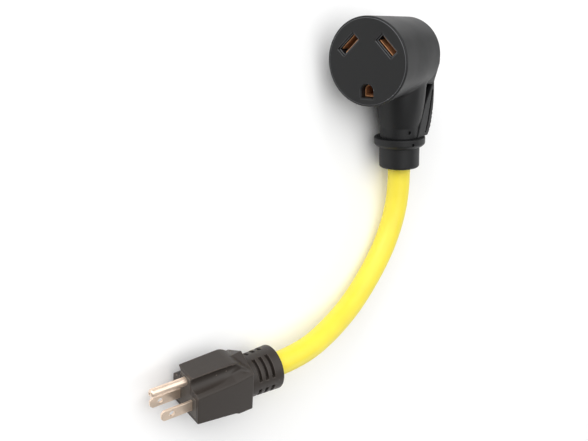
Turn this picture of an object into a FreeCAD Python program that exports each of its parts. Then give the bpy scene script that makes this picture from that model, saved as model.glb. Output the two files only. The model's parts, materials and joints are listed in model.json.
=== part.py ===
import FreeCAD, Part

import math
import os

# RV dogbone adapter: a 30 A TT-30 socket head with a pull handle, a short round cord and a
# 15 A three-prong plug, lying on its side on a table.
#
# Units are millimetres. Row frame: the origin is the centre of the socket face, +Z is up from
# the table, +X is the way the cord leaves the head, and the plug's prongs point along -Y.
#
# Head frame: X across the face, Y from the face into the head, Z from the cord up to the slots.
# Plug frame: X from blade to blade, Y from the face back to the cord, Z towards the ground pin.

# How the rigid moulded ends lie on the table (degrees and millimetres)
FACE_LIFT = 17.8
NECK_DROOP = 8.4
PLUG_ROLL = 19.1
PLUG_NOSE_DOWN = 3.0
PLUG_ORIGIN = (160.7, -139.7, -21.2)

# Socket head
FACE_RADIUS = 26.0
BACK_RADIUS = 21.65
HEAD_DEPTH = 55.0
DOME_DEPTH = 5.0
DOME_WIDTH = 12.5
RIM_ROUNDING = 0.8
NECK_Y = 42.0
NECK_END = -50.5
NECK_PROFILE = ((15.8, -14.0), (14.8, -30.0), (12.2, -44.0))
COLLAR_RADIUS = 15.9
COLLAR_HEIGHT = 5.8
COLLAR_CHAMFER = 1.8
SLEEVE_RADIUS = 12.5
SLEEVE_END = -69.7
SLEEVE_ROUNDING = 1.5

# Socket face insert and the carrier behind it
INSERT_RADIUS = 25.0
INSERT_DEPTH = 8.0
CARRIER_RADIUS = 22.0
CARRIER_END = 26.0
SLOT_X = 12.4
SLOT_Z = 9.4
SLOT_LENGTH = 12.8
SLOT_WIDTH = 4.4
SLOT_BEVEL = 0.8
SLOT_ANGLE = 45.0
GROUND_Z = -17.0
GROUND_HOLE_RADIUS = 3.9
POCKET_CLEARANCE = 0.4

# Contacts and wires, shared by both ends
CONTACT_SHEET = 0.8
CONTACT_START = 2.5
GROUND_CONTACT_START = 4.5
CONTACT_BASE = 20.0
BARREL_RADIUS = 2.2
WIRE_RADIUS = 2.2
STRAND_RADIUS = 1.3
BARREL_LENGTH = 8.0
BARREL_FLOOR = 1.0
BUNDLE_RADIUS = 2.7

# Wires of each end: start across the end, start height, angle in the bundle, corner(s)
HEAD_WHITE_WIRE = (-SLOT_X, SLOT_Z, 150.0, 36.0, 0.0)
HEAD_BLACK_WIRE = (SLOT_X, SLOT_Z, 30.0, 36.0, 0.0)
HEAD_GREEN_WIRE = (0.0, GROUND_Z, 270.0, 36.5, -25.0)
PLUG_WIRE_CORNER = 20.0
PLUG_WIRE_SWEEP = 8.0

# Inner mould of the head
INNER_MOULD_RADIUS = 19.5
INNER_MOULD_END = 48.0
NECK_CORE_RADIUS = 8.5
NECK_CORE_END = -46.0
MOULD_FIT = 0.05

# Pull handle: centre Y and outer radius of its section at each height
HANDLE_SECTIONS = ((42.5, 18.0, NECK_END), (45.0, 19.2, -45.0), (46.5, 19.8, -38.0),
                   (47.3, 20.0, -30.0), (47.6, 20.1, -22.0), (47.0, 20.4, -13.0),
                   (46.0, 22.0, -5.0), (45.0, 21.5, 2.0))
HANDLE_WALL = 3.0
HANDLE_HALF_WIDTH = 13.0
HANDLE_ROOT_HALF_WIDTH = 19.1
HANDLE_ROOT_LOW = -6.0
HANDLE_GAP_TOP = -18.0
HANDLE_TOP_ROUNDING = 6.0
HANDLE_EDGE = ((41.5, NECK_END), (45.5, -41.5), (50.9, -31.0), (60.0, -19.5),
               (52.0, HANDLE_GAP_TOP))

# Marks left by the mould's pins: angle round the neck and height
PIN_MARK_RADIUS = 0.95
PIN_MARK_DEPTH = 2.0
NECK_MARK_ANGLE = 33.0
NECK_MARK_Z = -46.5
COLLAR_MARK_ANGLE = 31.0
COLLAR_MARK_Z = NECK_END - COLLAR_HEIGHT / 2

# Cord
CORD_RADIUS = 7.0
FIRST_RUN = 15.0
LAST_RUN = 19.5
CORD_MIDDLE = ((102.5, 30.7, -27.1), (123.0, 17.5, -28.6), (144.5, -9.0, -27.2),
               (154.8, -37.0, -21.2))
ARC_SHARE = 0.45

# Plug body
BODY_HALF_WIDTH = 13.5
BODY_CORNER = 0.9
SHELF_RISE = 2.4
BODY_SECTIONS = ((0.0, -8.3, 9.0), (24.0, -11.3, 10.0), (26.5, -12.4, 10.5), (35.0, -12.2, 11.8))
GRIP_FRONT_TOP = 18.0
GRIP_TOP = 18.8
GRIP_LENGTH = 29.5
GRIP_KNEE = 27.0
GRIP_BACK_TOP = 12.0
GRIP_HALF_WIDTH = 8.2
GRIP_ROUNDING = 1.0

# Finger groove along each side of the grip
GROOVE_X = 10.4
GROOVE_Z = 14.6
GROOVE_RADIUS = 3.5
GROOVE_END = 31.0
GROOVE_END_RADIUS = 1.2

# Plug strain relief
RELIEF_START = 35.0
RELIEF_FRONT_RADIUS = 12.0
RELIEF_END_RADIUS = 12.9
RELIEF_END = 56.3
RELIEF_SLOTS = (40.0, 44.2, 48.4)
RELIEF_SLOT_WIDTH = 2.0
RELIEF_SLOT_DEPTH = 2.2
RELIEF_BRIDGE = 5.0

# Prongs of a NEMA 5-15 plug
BLADE_X = 6.35
BLADE_WIDTH = 6.35
BLADE_THICKNESS = 1.52
BLADE_REACH = 18.2
BLADE_HOLE_RADIUS = 1.6
BLADE_HOLE_REACH = 11.9
BLADE_TIP_CHAMFER = 1.5
PIN_Z = 11.9
PIN_RADIUS = 2.4
PIN_REACH = 21.4
PIN_WALL = 0.8
PIN_TIP_ROUNDING = 1.5
PIN_ROOT_RADIUS = 2.0
PRONG_ROOT = 9.0

# Plug insert and inner mould
BRIDGE_DEPTH = 9.0
BRIDGE_HALF_WIDTH = 10.5
BRIDGE_HALF_HEIGHT = 6.0
BRIDGE_NECK_HALF_WIDTH = 4.5
BRIDGE_TOP = 15.5
PLUG_BARREL_LENGTH = 7.0
PLUG_MOULD_END = 30.0
PLUG_CORE_RADIUS = 7.6
PLUG_CORE_START = 20.0
PLUG_CORE_END = 38.0

X = FreeCAD.Vector(1, 0, 0)
Y = FreeCAD.Vector(0, 1, 0)
Z = FreeCAD.Vector(0, 0, 1)


def vec(x, y, z):
    return FreeCAD.Vector(x, y, z)


def head_placement():
    """Lays the head on its side, lifts its face and lets its neck droop."""
    lift = FreeCAD.Rotation(X, -FACE_LIFT)
    lay = FreeCAD.Rotation(Y, NECK_DROOP - 90.0)
    return FreeCAD.Placement(vec(0, 0, 0), lift.multiply(lay))


def plug_placement():
    """Lays the plug on its side, rolled about its own axis, with its prongs dipped."""
    dip = FreeCAD.Rotation(X, PLUG_NOSE_DOWN)
    lay = FreeCAD.Rotation(Y, PLUG_ROLL - 90.0)
    return FreeCAD.Placement(vec(*PLUG_ORIGIN), dip.multiply(lay))


HEAD = head_placement()
PLUG = plug_placement()


def cylinder_y(radius, start, end, x=0.0, z=0.0):
    return Part.makeCylinder(radius, end - start, vec(x, start, z), Y)


def cylinder_z(radius, low, high, x=0.0, y=NECK_Y):
    return Part.makeCylinder(radius, high - low, vec(x, y, low), Z)


def box(low, high):
    size = vec(*high) - vec(*low)
    return Part.makeBox(size.x, size.y, size.z, vec(*low))


def polygon(points):
    return Part.makePolygon(points + [points[0]])


def prism(points, direction):
    return Part.Face(polygon(points)).extrude(direction)


def fused(solids):
    return solids[0].multiFuse(solids[1:]).removeSplitter()


def edges_at(shape, test):
    """Edges whose every vertex passes the test."""
    return [edge for edge in shape.Edges if all(test(v.Point) for v in edge.Vertexes)]


def bend_radius(before, corner, after):
    """Radius of the arc that rounds a corner of a route."""
    arriving = corner - before
    leaving = after - corner
    half_turn = arriving.getAngle(leaving) / 2
    return ARC_SHARE * min(arriving.Length, leaving.Length) / math.tan(half_turn)


def rounded_route(points):
    """A wire of straight runs joined by tangent arcs."""
    edges = []
    start = points[0]
    for before, corner, after in zip(points, points[1:], points[2:]):
        arriving = (corner - before).normalize()
        leaving = (after - corner).normalize()
        reach = ARC_SHARE * min((corner - before).Length, (after - corner).Length)
        radius = bend_radius(before, corner, after)
        half_turn = arriving.getAngle(leaving) / 2
        inward = (leaving - arriving).normalize()
        middle = corner + inward * (radius / math.cos(half_turn) - radius)
        arc_start = corner - arriving * reach
        arc_end = corner + leaving * reach
        edges.append(Part.LineSegment(start, arc_start).toShape())
        edges.append(Part.Arc(arc_start, middle, arc_end).toShape())
        start = arc_end
    edges.append(Part.LineSegment(start, points[-1]).toShape())
    return Part.Wire(edges)


def round_tube(points, radius):
    """A solid round section swept along a rounded route."""
    route = rounded_route(points)
    direction = (points[1] - points[0]).normalize()
    section = Part.Wire(Part.makeCircle(radius, points[0], direction))
    return route.makePipeShell([section], True, False)


# ---------------------------------------------------------------- socket head

def slot_wire(x, y, length, width):
    """A rectangle in the face plane, centred on a blade slot and turned with it."""
    corners = [vec(sx * length / 2, 0, sz * width / 2)
               for sx, sz in ((-1, -1), (1, -1), (1, 1), (-1, 1))]
    lean = SLOT_ANGLE if x > 0 else -SLOT_ANGLE
    turn = FreeCAD.Rotation(Y, lean)
    centre = vec(x, y, SLOT_Z)
    return polygon([centre + turn.multVec(corner) for corner in corners])


def slot_block(x, start, end, length, width):
    return Part.Face(slot_wire(x, start, length, width)).extrude(Y * (end - start))


def slot_cutter(x):
    """Blade slot through the insert, with a bevelled mouth."""
    mouth = slot_wire(x, 0, SLOT_LENGTH + 2 * SLOT_BEVEL, SLOT_WIDTH + 2 * SLOT_BEVEL)
    throat = slot_wire(x, SLOT_BEVEL, SLOT_LENGTH, SLOT_WIDTH)
    bevel = Part.makeLoft([mouth, throat], True, True)
    return fused([bevel, slot_block(x, SLOT_BEVEL, INSERT_DEPTH, SLOT_LENGTH, SLOT_WIDTH)])


def arch_block(radius, start, end):
    """A prism with a half-round top and a flat bottom, round the ground hole's centre."""
    centre = vec(0, start, GROUND_Z)
    left = centre - X * radius
    right = centre + X * radius
    top = Part.Arc(left, centre + Z * radius, right).toShape()
    low_left = left - Z * radius
    low_right = right - Z * radius
    sides = [Part.LineSegment(right, low_right).toShape(),
             Part.LineSegment(low_right, low_left).toShape(),
             Part.LineSegment(low_left, left).toShape()]
    return Part.Face(Part.Wire([top] + sides)).extrude(Y * (end - start))


def head_outer():
    """The round head with its neck, before anything is hollowed out."""
    barrel = drum()
    front_edge = edges_at(barrel, lambda p: abs(p.y) < 0.01)
    return fused([barrel.makeFillet(RIM_ROUNDING, front_edge), neck()])


def drum():
    """The tapering barrel of the head, closed behind by a shallow dome."""
    shoulder_y = HEAD_DEPTH - DOME_DEPTH
    taper = (FACE_RADIUS - BACK_RADIUS) / HEAD_DEPTH
    shoulder = vec(FACE_RADIUS - taper * shoulder_y, shoulder_y, 0)
    crown = vec(shoulder.x - DOME_WIDTH, HEAD_DEPTH, 0)
    centre = vec(crown.x, shoulder_y, 0)
    front = vec(FACE_RADIUS, 0, 0)
    back = vec(0, HEAD_DEPTH, 0)
    dome = Part.ArcOfEllipse(Part.Ellipse(shoulder, crown, centre), 0, math.pi / 2)
    outline = Part.Wire([Part.LineSegment(vec(0, 0, 0), front).toShape(),
                         Part.LineSegment(front, shoulder).toShape(),
                         dome.toShape(),
                         Part.LineSegment(crown, back).toShape(),
                         Part.LineSegment(back, vec(0, 0, 0)).toShape()])
    return Part.Face(outline).revolve(vec(0, 0, 0), Y, 360)


def neck():
    """The tapering neck, turned about its own vertical axis."""
    flank = [vec(radius, NECK_Y, z) for radius, z in NECK_PROFILE]
    top = vec(0, NECK_Y, flank[0].z)
    foot = vec(flank[-1].x, NECK_Y, NECK_END)
    bottom = vec(0, NECK_Y, NECK_END)
    outline = Part.Wire([Part.LineSegment(top, flank[0]).toShape(),
                         Part.Arc(*flank).toShape(),
                         Part.LineSegment(flank[-1], foot).toShape(),
                         Part.LineSegment(foot, bottom).toShape(),
                         Part.LineSegment(bottom, top).toShape()])
    return Part.Face(outline).revolve(vec(0, NECK_Y, 0), Z, 360)


def inner_mould_space(extra=0.0):
    block = cylinder_y(INNER_MOULD_RADIUS + extra, CARRIER_END, INNER_MOULD_END + extra)
    core = cylinder_z(NECK_CORE_RADIUS + extra, NECK_CORE_END, 0)
    return fused([block, core])


def head_overmould():
    shell = head_outer()
    shell = shell.cut(cylinder_y(INSERT_RADIUS, -1, INSERT_DEPTH))
    shell = shell.cut(cylinder_y(CARRIER_RADIUS, INSERT_DEPTH, CARRIER_END))
    shell = shell.cut(inner_mould_space(MOULD_FIT))
    shell = shell.cut(cylinder_z(CORD_RADIUS, NECK_END - 1, NECK_CORE_END))
    return shell.cut(pin_mark(NECK_PROFILE[-1][0], NECK_MARK_ANGLE, NECK_MARK_Z))


def socket_insert():
    """The flat round face with two angled blade slots and an arched ground hole."""
    disc = cylinder_y(INSERT_RADIUS, 0, INSERT_DEPTH)
    for x in (-SLOT_X, SLOT_X):
        disc = disc.cut(slot_cutter(x))
    return disc.cut(arch_block(GROUND_HOLE_RADIUS, 0, INSERT_DEPTH))


def contact_carrier():
    """The block behind the face that holds the three contacts in their pockets."""
    block = cylinder_y(CARRIER_RADIUS, INSERT_DEPTH, CARRIER_END)
    pocket_end = CONTACT_BASE + CONTACT_SHEET + POCKET_CLEARANCE
    pocket_length = SLOT_LENGTH + POCKET_CLEARANCE
    pocket_width = SLOT_WIDTH + POCKET_CLEARANCE
    for x in (-SLOT_X, SLOT_X):
        block = block.cut(slot_block(x, INSERT_DEPTH, pocket_end, pocket_length, pocket_width))
        block = block.cut(cylinder_y(BARREL_RADIUS + POCKET_CLEARANCE, CONTACT_BASE,
                                     CARRIER_END, x, SLOT_Z))
    block = block.cut(arch_block(GROUND_HOLE_RADIUS, INSERT_DEPTH, pocket_end))
    return block.cut(cylinder_y(BARREL_RADIUS + POCKET_CLEARANCE, CONTACT_BASE, CARRIER_END,
                                0, GROUND_Z))


def crimp_barrel(x, z, start, length):
    outer = cylinder_y(BARREL_RADIUS, start, start + length, x, z)
    bore = cylinder_y(STRAND_RADIUS, start + BARREL_FLOOR, start + length, x, z)
    return outer.cut(bore)


def blade_contact(x):
    """Two spring leaves that grip a blade, their base and a crimp barrel."""
    inner_width = SLOT_WIDTH - 2 * CONTACT_SHEET - POCKET_CLEARANCE
    outer_width = inner_width + 2 * CONTACT_SHEET
    length = SLOT_LENGTH - 2 * POCKET_CLEARANCE
    base_end = CONTACT_BASE + CONTACT_SHEET
    leaves = slot_block(x, CONTACT_START, base_end, length, outer_width)
    gap = slot_block(x, CONTACT_START, CONTACT_BASE, length, inner_width)
    return fused([leaves.cut(gap), crimp_barrel(x, SLOT_Z, base_end, BARREL_LENGTH)])


def ground_contact():
    """An arched spring sleeve with a crimp barrel."""
    outer_radius = GROUND_HOLE_RADIUS - POCKET_CLEARANCE / 2
    base_end = CONTACT_BASE + CONTACT_SHEET
    outer = arch_block(outer_radius, GROUND_CONTACT_START, base_end)
    gap = arch_block(outer_radius - CONTACT_SHEET, GROUND_CONTACT_START, CONTACT_BASE)
    return fused([outer.cut(gap), crimp_barrel(0, GROUND_Z, base_end, BARREL_LENGTH)])


HEAD_BARREL_END = CONTACT_BASE + CONTACT_SHEET + BARREL_LENGTH


def bundle_offset(angle):
    """Place of one wire in the round bundle of three."""
    turn = math.radians(angle)
    return BUNDLE_RADIUS * math.cos(turn), BUNDLE_RADIUS * math.sin(turn)


def head_wire(x, z, bundle_angle, corner_y, corner_z):
    """One insulated wire from its crimp barrel down the neck to the cord."""
    dx, dy = bundle_offset(bundle_angle)
    lower = vec(dx, NECK_Y + dy, NECK_CORE_END)
    return round_tube([vec(x, HEAD_BARREL_END, z),
                       vec(x, corner_y, z),
                       vec(dx, NECK_Y + dy, corner_z),
                       lower], WIRE_RADIUS)


def head_strands():
    places = ((-SLOT_X, SLOT_Z), (SLOT_X, SLOT_Z), (0.0, GROUND_Z))
    start = HEAD_BARREL_END - BARREL_LENGTH + BARREL_FLOOR
    return [cylinder_y(STRAND_RADIUS, start, HEAD_BARREL_END, x, z) for x, z in places]


def head_inner_mould(inside):
    """The block that the wires and crimps are set in before the outer moulding."""
    return inner_mould_space().cut(inside[0].multiFuse(inside[1:]))


def pin_mark(wall_radius, angle, level):
    """A small round hole that a mould pin leaves in a wall turned about the neck's axis."""
    turn = math.radians(angle)
    outward = vec(math.cos(turn), -math.sin(turn), 0)
    start = vec(0, NECK_Y, level) + outward * (wall_radius - PIN_MARK_DEPTH)
    return Part.makeCylinder(PIN_MARK_RADIUS, 2 * PIN_MARK_DEPTH, start, outward)


def collar_sleeve():
    """The flange below the neck with the sleeve that guards the cord."""
    collar_low = NECK_END - COLLAR_HEIGHT
    collar = cylinder_z(COLLAR_RADIUS, collar_low, NECK_END)
    rim = edges_at(collar, lambda p: abs(p.z - collar_low) < 0.01)
    collar = collar.makeChamfer(COLLAR_CHAMFER, rim)
    sleeve = cylinder_z(SLEEVE_RADIUS, SLEEVE_END, collar_low)
    mouth = edges_at(sleeve, lambda p: abs(p.z - SLEEVE_END) < 0.01)
    sleeve = sleeve.makeFillet(SLEEVE_ROUNDING, mouth)
    whole = fused([collar, sleeve])
    whole = whole.cut(cylinder_z(CORD_RADIUS, SLEEVE_END - 1, NECK_END + 1))
    return whole.cut(pin_mark(COLLAR_RADIUS, COLLAR_MARK_ANGLE, COLLAR_MARK_Z))


def handle_body(inset):
    """The handle's rounded column, lofted through its sections."""
    rings = [Part.Wire(Part.makeCircle(radius - inset, vec(0, y, z), Z))
             for y, radius, z in HANDLE_SECTIONS]
    column = Part.makeLoft(rings, True)
    top_edge = edges_at(column, lambda p: abs(p.z - HANDLE_SECTIONS[-1][2]) < 0.01)
    return column.makeFillet(HANDLE_TOP_ROUNDING, top_edge)


def handle_sides(far):
    """The handle's outline seen from behind: a strap that widens into its root on the head."""
    top = HANDLE_SECTIONS[-1][2]
    right = [vec(HANDLE_HALF_WIDTH, 0, NECK_END), vec(HANDLE_HALF_WIDTH, 0, HANDLE_GAP_TOP),
             vec(HANDLE_ROOT_HALF_WIDTH, 0, HANDLE_ROOT_LOW), vec(HANDLE_ROOT_HALF_WIDTH, 0, top)]
    left = [vec(-point.x, 0, point.z) for point in reversed(right)]
    return prism(right + left, Y * far)


def pull_handle():
    """A strap behind the neck, from the collar up to the back of the head."""
    top = HANDLE_SECTIONS[-1][2]
    far = NECK_Y + 2 * FACE_RADIUS
    half = FACE_RADIUS
    inner = HANDLE_HALF_WIDTH - HANDLE_WALL
    hollow = handle_body(HANDLE_WALL).common(
        box((-inner, 0, NECK_END), (inner, far, HANDLE_GAP_TOP)))
    wall = handle_body(0).cut(hollow)
    side = [vec(-half, y, z) for y, z in HANDLE_EDGE]
    side += [vec(-half, NECK_Y, HANDLE_GAP_TOP), vec(-half, NECK_Y, top),
             vec(-half, far, top), vec(-half, far, NECK_END)]
    grip = wall.common(prism(side, X * 2 * half)).common(handle_sides(far))
    return max(grip.cut(head_outer()).Solids, key=lambda solid: solid.Volume)


def head_jacket_end():
    return cylinder_z(CORD_RADIUS, SLEEVE_END, NECK_CORE_END)


# ----------------------------------------------------------------------- cord

def cord_route():
    """From the sleeve's mouth to the end of the plug's strain relief, along both axes."""
    start = HEAD.multVec(vec(0, NECK_Y, SLEEVE_END))
    leaving = HEAD.multVec(vec(0, NECK_Y, SLEEVE_END - FIRST_RUN))
    arriving = PLUG.multVec(vec(0, RELIEF_END + LAST_RUN, 0))
    end = PLUG.multVec(vec(0, RELIEF_END, 0))
    return [start, leaving] + [vec(*point) for point in CORD_MIDDLE] + [arriving, end]


# ----------------------------------------------------------------------- plug

def body_section(y, low, high):
    """A section across the plug: cut corners and a top that rises towards the grip."""
    half = BODY_HALF_WIDTH
    inner = half - BODY_CORNER
    right = [vec(inner, y, low), vec(half, y, low + BODY_CORNER),
             vec(half, y, high - BODY_CORNER), vec(inner, y, high),
             vec(GRIP_HALF_WIDTH, y, high + SHELF_RISE)]
    left = [vec(-point.x, point.y, point.z) for point in reversed(right)]
    return polygon(right + left)


def grip_block():
    """The raised block round the ground pin."""
    half = GRIP_HALF_WIDTH
    back_half = BODY_HALF_WIDTH - BODY_CORNER
    right = [vec(half, 0, 0), vec(half, GRIP_LENGTH, 0), vec(back_half, RELIEF_START, 0)]
    left = [vec(-point.x, point.y, 0) for point in reversed(right)]
    column = prism(right + left, Z * 2 * GRIP_TOP)
    side = prism([vec(-half * 2, 0, 0), vec(-half * 2, 0, GRIP_FRONT_TOP),
                  vec(-half * 2, GRIP_KNEE, GRIP_TOP),
                  vec(-half * 2, RELIEF_START, GRIP_BACK_TOP), vec(-half * 2, RELIEF_START, 0)],
                 X * 4 * half)
    block = column.common(side)
    top_sides = [edge for edge in edges_at(block, lambda p: p.z > GRIP_FRONT_TOP - 0.01)
                 if abs(edge.CenterOfMass.x) > GRIP_HALF_WIDTH / 2]
    return block.makeFillet(GRIP_ROUNDING, top_sides)


def finger_groove(x):
    """A hollow along the side of the grip that narrows towards the back."""
    return Part.makeCone(GROOVE_RADIUS, GROOVE_END_RADIUS, GROOVE_END, vec(x, 0, GROOVE_Z), Y)


def plug_outer():
    base = Part.makeLoft([body_section(*section) for section in BODY_SECTIONS], True, True)
    body = fused([base, grip_block()])
    return body.cut(finger_groove(-GROOVE_X)).cut(finger_groove(GROOVE_X))


def bridge_space(end):
    """The T-shaped space that the prongs' insert and the inner mould share."""
    wide = box((-BRIDGE_HALF_WIDTH, 0, -BRIDGE_HALF_HEIGHT),
               (BRIDGE_HALF_WIDTH, end, BRIDGE_HALF_HEIGHT))
    tall = box((-BRIDGE_NECK_HALF_WIDTH, 0, 0), (BRIDGE_NECK_HALF_WIDTH, end, BRIDGE_TOP))
    return fused([wide, tall])


def plug_mould_space():
    behind = box((-BODY_HALF_WIDTH, BRIDGE_DEPTH, -BODY_HALF_WIDTH),
                 (BODY_HALF_WIDTH, PLUG_MOULD_END, GRIP_TOP))
    block = bridge_space(PLUG_MOULD_END).common(behind)
    return fused([block, cylinder_y(PLUG_CORE_RADIUS, PLUG_CORE_START, RELIEF_START)])


def plug_body():
    body = plug_outer().cut(bridge_space(BRIDGE_DEPTH))
    return body.cut(plug_mould_space())


def plug_bridge(prongs):
    """The insert in the plug's face that holds the three prongs."""
    return bridge_space(BRIDGE_DEPTH).cut(prongs[0].multiFuse(prongs[1:]))


def plug_blade(x):
    half = BLADE_WIDTH / 2
    blade = box((x - BLADE_THICKNESS / 2, -BLADE_REACH, -half),
                (x + BLADE_THICKNESS / 2, PRONG_ROOT, half))
    tip_corners = [edge for edge in edges_at(blade, lambda p: abs(p.y + BLADE_REACH) < 0.01)
                   if abs(edge.CenterOfMass.z) > half - 0.01]
    blade = blade.makeChamfer(BLADE_TIP_CHAMFER, tip_corners)
    hole = Part.makeCylinder(BLADE_HOLE_RADIUS, 2 * BLADE_THICKNESS,
                             vec(x - BLADE_THICKNESS, -BLADE_HOLE_REACH, 0), X)
    return fused([blade.cut(hole), crimp_barrel(x, 0, PRONG_ROOT, PLUG_BARREL_LENGTH)])


def ground_pin():
    """A round folded pin, hollow inside, with a rounded tip, a root and a crimp barrel."""
    rod = cylinder_y(PIN_RADIUS, -PIN_REACH, 0, 0, PIN_Z)
    tip = edges_at(rod, lambda p: abs(p.y + PIN_REACH) < 0.01)
    rod = rod.makeFillet(PIN_TIP_ROUNDING, tip)
    rod = rod.cut(cylinder_y(PIN_RADIUS - PIN_WALL, -PIN_REACH + PIN_RADIUS, -PIN_WALL,
                             0, PIN_Z))
    root = cylinder_y(PIN_ROOT_RADIUS, 0, PRONG_ROOT, 0, PIN_Z)
    return fused([rod, root, crimp_barrel(0, PIN_Z, PRONG_ROOT, PLUG_BARREL_LENGTH)])


PLUG_BARREL_END = PRONG_ROOT + PLUG_BARREL_LENGTH


def plug_wire(x, z, bundle_angle):
    """One insulated wire from its crimp barrel back to the cord."""
    dx, dz = bundle_offset(bundle_angle)
    return round_tube([vec(x, PLUG_BARREL_END, z),
                       vec(x, PLUG_WIRE_CORNER, z),
                       vec(dx, PLUG_WIRE_CORNER + PLUG_WIRE_SWEEP, dz),
                       vec(dx, PLUG_CORE_END, dz)], WIRE_RADIUS)


def plug_strands():
    places = ((-BLADE_X, 0.0), (BLADE_X, 0.0), (0.0, PIN_Z))
    return [cylinder_y(STRAND_RADIUS, PRONG_ROOT + BARREL_FLOOR, PLUG_BARREL_END, x, z)
            for x, z in places]


def plug_inner_mould(inside):
    return plug_mould_space().cut(inside[0].multiFuse(inside[1:]))


def relief_slot_ring(y):
    """A ring groove, broken by four bridges."""
    floor_radius = RELIEF_FRONT_RADIUS - RELIEF_SLOT_DEPTH
    ring = cylinder_y(RELIEF_END_RADIUS + 1, y, y + RELIEF_SLOT_WIDTH)
    ring = ring.cut(cylinder_y(floor_radius, y, y + RELIEF_SLOT_WIDTH))
    half = RELIEF_BRIDGE / 2
    for turn in (0.0, 90.0):
        bar = box((-2 * RELIEF_END_RADIUS, y, -half),
                  (2 * RELIEF_END_RADIUS, y + RELIEF_SLOT_WIDTH, half))
        ring = ring.cut(bar.rotated(vec(0, y, 0), Y, turn))
    return ring


def plug_strain_relief():
    """The slotted round tail of the plug that the cord leaves from."""
    tail = Part.makeCone(RELIEF_FRONT_RADIUS, RELIEF_END_RADIUS, RELIEF_END - RELIEF_START,
                         vec(0, RELIEF_START, 0), Y)
    for y in RELIEF_SLOTS:
        tail = tail.cut(relief_slot_ring(y))
    tail = tail.cut(cylinder_y(PLUG_CORE_RADIUS, RELIEF_START, PLUG_CORE_END))
    return tail.cut(cylinder_y(CORD_RADIUS, PLUG_CORE_END, RELIEF_END))


def plug_jacket_end():
    return cylinder_y(CORD_RADIUS, PLUG_CORE_END, RELIEF_END)


# --------------------------------------------------------------------- export

def head_parts():
    contacts = {
        "neutral_socket_contact": blade_contact(-SLOT_X),
        "hot_socket_contact": blade_contact(SLOT_X),
        "ground_socket_contact": ground_contact(),
    }
    wires = {
        "head_white_wire": head_wire(*HEAD_WHITE_WIRE),
        "head_black_wire": head_wire(*HEAD_BLACK_WIRE),
        "head_green_wire": head_wire(*HEAD_GREEN_WIRE),
    }
    strands = head_strands()
    inside = list(contacts.values()) + list(wires.values()) + strands
    parts = {
        "head_overmould": head_overmould(),
        "socket_insert": socket_insert(),
        "contact_carrier": contact_carrier(),
        "head_inner_mould": head_inner_mould(inside),
        "collar_sleeve": collar_sleeve(),
        "pull_handle": pull_handle(),
        "head_jacket_end": head_jacket_end(),
        "head_wire_strands": Part.makeCompound(strands),
    }
    parts.update(contacts)
    parts.update(wires)
    return parts


def plug_parts():
    prongs = {
        "neutral_blade": plug_blade(-BLADE_X),
        "hot_blade": plug_blade(BLADE_X),
        "ground_pin": ground_pin(),
    }
    wires = {
        "plug_white_wire": plug_wire(-BLADE_X, 0.0, 210.0),
        "plug_black_wire": plug_wire(BLADE_X, 0.0, 330.0),
        "plug_green_wire": plug_wire(0.0, PIN_Z, 90.0),
    }
    strands = plug_strands()
    inside = list(prongs.values()) + list(wires.values()) + strands
    parts = {
        "plug_body": plug_body(),
        "plug_bridge": plug_bridge(list(prongs.values())),
        "plug_inner_mould": plug_inner_mould(inside),
        "plug_strain_relief": plug_strain_relief(),
        "plug_jacket_end": plug_jacket_end(),
        "plug_wire_strands": Part.makeCompound(strands),
    }
    parts.update(prongs)
    parts.update(wires)
    return parts


def placed(parts, placement):
    for shape in parts.values():
        shape.Placement = placement
    return parts


def report_cord(route, cord):
    for before, corner, after in zip(route, route[1:], route[2:]):
        print("cord bend radius %.0f mm" % bend_radius(before, corner, after))
    length = rounded_route(route).Length
    section = math.pi * CORD_RADIUS ** 2
    print("cord length %.1f mm, volume over section times length %.4f"
          % (length, cord.Volume / (section * length)))


def main():
    os.makedirs("parts", exist_ok=True)
    route = cord_route()
    cord = round_tube(route, CORD_RADIUS)
    report_cord(route, cord)
    parts = placed(head_parts(), HEAD)
    parts.update(placed(plug_parts(), PLUG))
    parts["cord"] = cord
    for name, shape in parts.items():
        shape.exportStep("parts/%s.step" % name)


main()
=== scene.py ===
import json
import math

import bpy
import numpy as np
from mathutils import Matrix, Vector


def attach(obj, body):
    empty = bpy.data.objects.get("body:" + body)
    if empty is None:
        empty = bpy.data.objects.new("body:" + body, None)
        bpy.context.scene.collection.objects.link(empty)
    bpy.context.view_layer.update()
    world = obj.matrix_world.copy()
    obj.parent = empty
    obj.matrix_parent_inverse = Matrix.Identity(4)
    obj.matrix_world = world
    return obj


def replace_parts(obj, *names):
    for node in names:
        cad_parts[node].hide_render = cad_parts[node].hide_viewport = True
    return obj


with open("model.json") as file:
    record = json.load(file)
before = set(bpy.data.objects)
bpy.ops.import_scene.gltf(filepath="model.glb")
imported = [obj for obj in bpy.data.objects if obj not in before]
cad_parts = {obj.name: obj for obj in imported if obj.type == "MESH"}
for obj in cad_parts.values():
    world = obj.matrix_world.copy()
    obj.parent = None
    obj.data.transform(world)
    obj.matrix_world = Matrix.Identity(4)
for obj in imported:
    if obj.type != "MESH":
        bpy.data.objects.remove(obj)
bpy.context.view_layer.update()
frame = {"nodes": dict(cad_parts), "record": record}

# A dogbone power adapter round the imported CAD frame. Row frame and metres for every object; the
# shapes of the head and the plug are written in millimetres in their own frames, as in the part:
# head: X across the face, Y from the face into the head, Z from the cord up to the slots
# plug: X from blade to blade, Y from the face back to the cord, Z towards the ground pin
# Neighbouring pieces keep a few hundredths of a millimetre apart. The names that end in SCALE
# turn the height over a sloping surface into the distance from it.
MM = 0.001

# How the ends lie on the table
FACE_LIFT = 17.8
NECK_DROOP = 8.4
PLUG_ROLL = 19.1
PLUG_NOSE_DOWN = 3.0
PLUG_ORIGIN = (160.7, -139.7, -21.2)

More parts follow.
